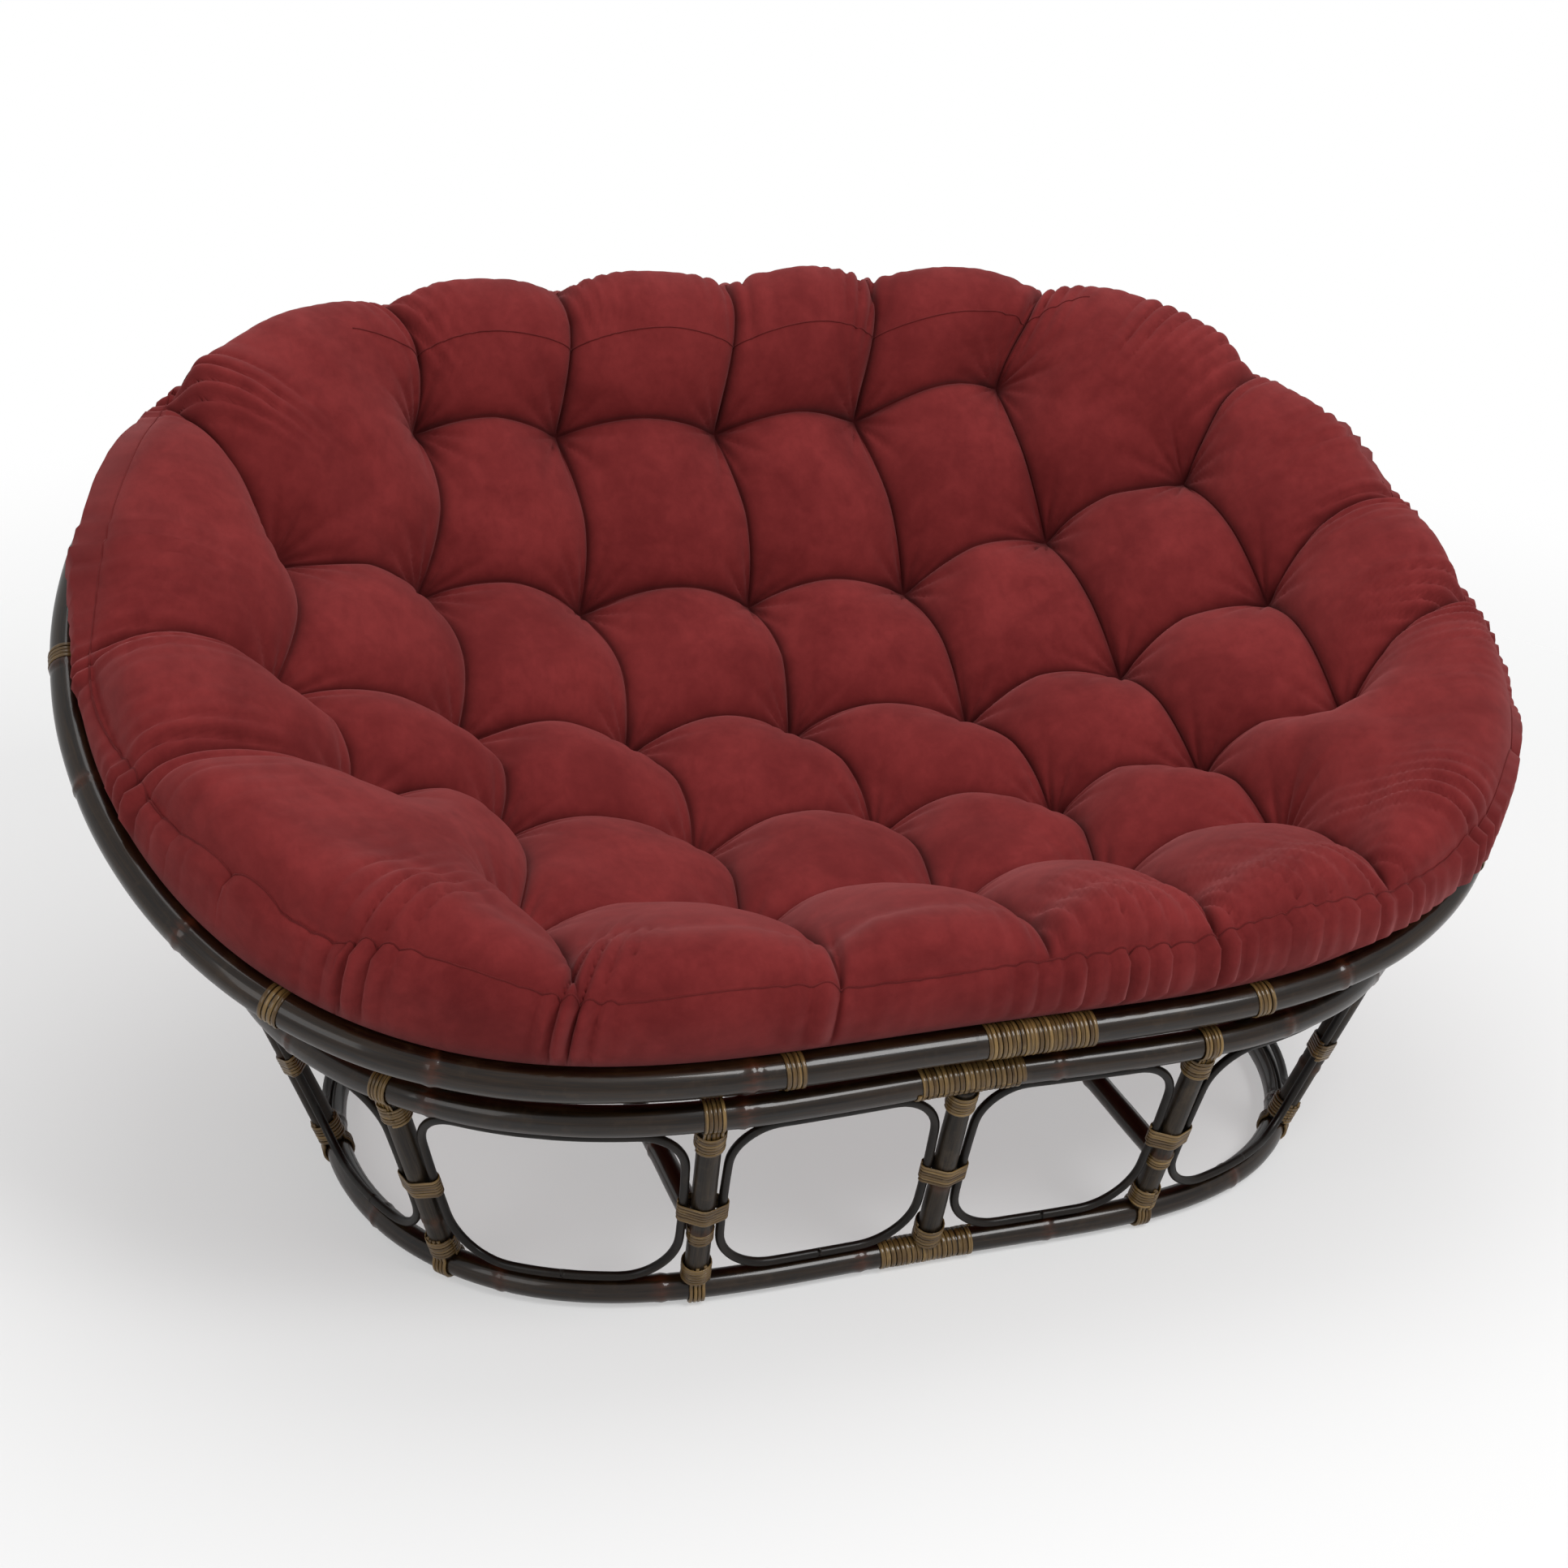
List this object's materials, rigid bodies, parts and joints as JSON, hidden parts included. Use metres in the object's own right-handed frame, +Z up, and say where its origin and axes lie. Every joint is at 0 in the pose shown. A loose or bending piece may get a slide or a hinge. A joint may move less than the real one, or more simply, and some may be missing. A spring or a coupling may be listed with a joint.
{
  "type": "papasan chair",
  "caption": "Wide oval papasan chair: tufted cushion in a tilted rattan bowl that rests and turns in an oval rattan stand.",
  "frame": {"origin": "on the floor, under the middle of the whole chair's box", "axes": "+Z up, +X along the length of the chair to the sitter's left, +Y towards the raised back"},
  "size_m": [1.657, 1.1348, 0.8372],
  "materials": {
    "dark_rattan": "dark brown stain under satin lacquer",
    "dark_cane": "dark stain, satin",
    "peel": "split rattan peel, olive tan, satin",
    "suede": "burgundy microsuede with a soft nap"
  },
  "bodies": {
    "stand": {"top_ring": "dark_rattan", "foot_ring": "dark_rattan", "upright_front_middle": "dark_rattan", "upright_front_right": "dark_rattan", "upright_front_right_corner": "dark_rattan", "upright_right_end": "dark_rattan", "upright_back_right_corner": "dark_rattan", "upright_back_right": "dark_rattan", "upright_back_middle": "dark_rattan", "upright_back_left": "dark_rattan", "upright_back_left_corner": "dark_rattan", "upright_left_end": "dark_rattan", "upright_front_left_corner": "dark_rattan", "upright_front_left": "dark_rattan", "cane_front_middle": "dark_cane", "cane_front_right": "dark_cane", "cane_front_right_corner": "dark_cane", "cane_right_end": "dark_cane", "cane_back_right_corner": "dark_cane", "cane_back_right": "dark_cane", "cane_back_middle": "dark_cane", "cane_back_left": "dark_cane", "cane_back_left_corner": "dark_cane", "cane_left_end": "dark_cane", "cane_front_left_corner": "dark_cane", "cane_front_left": "dark_cane", "waist_binding_front_middle": "peel", "waist_binding_front_right": "peel", "waist_binding_front_right_corner": "peel", "waist_binding_right_end": "peel", "waist_binding_back_right_corner": "peel", "waist_binding_back_right": "peel", "waist_binding_back_middle": "peel", "waist_binding_back_left": "peel", "waist_binding_back_left_corner": "peel", "waist_binding_left_end": "peel", "waist_binding_front_left_corner": "peel", "waist_binding_front_left": "peel", "brace_left": "dark_rattan", "brace_right": "dark_rattan", "top_ring_splice": "peel", "foot_ring_splice": "peel"},
    "bowl": {"rim": "dark_rattan", "cross_rib_left": "dark_rattan", "cross_rib_right": "dark_rattan", "long_rib_front": "dark_rattan", "long_rib_middle": "dark_rattan", "long_rib_back": "dark_rattan", "bowl_hoop": "dark_rattan", "rim_splice": "peel"},
    "cushion": {"cushion": "suede"}
  },
  "joints": [
    {"name": "bowl_tilt", "type": "hinge", "parent": "stand", "child": "bowl", "pos_m": [0, -0.09621, 0.772], "axis": [1, 0, 0], "range_deg": [-23, 0]},
    {"name": "cushion_lift", "type": "slide", "parent": "bowl", "child": "cushion", "axis": [0, -0.3907, 0.9205], "range_m": [0, 0.4]}
  ]
}
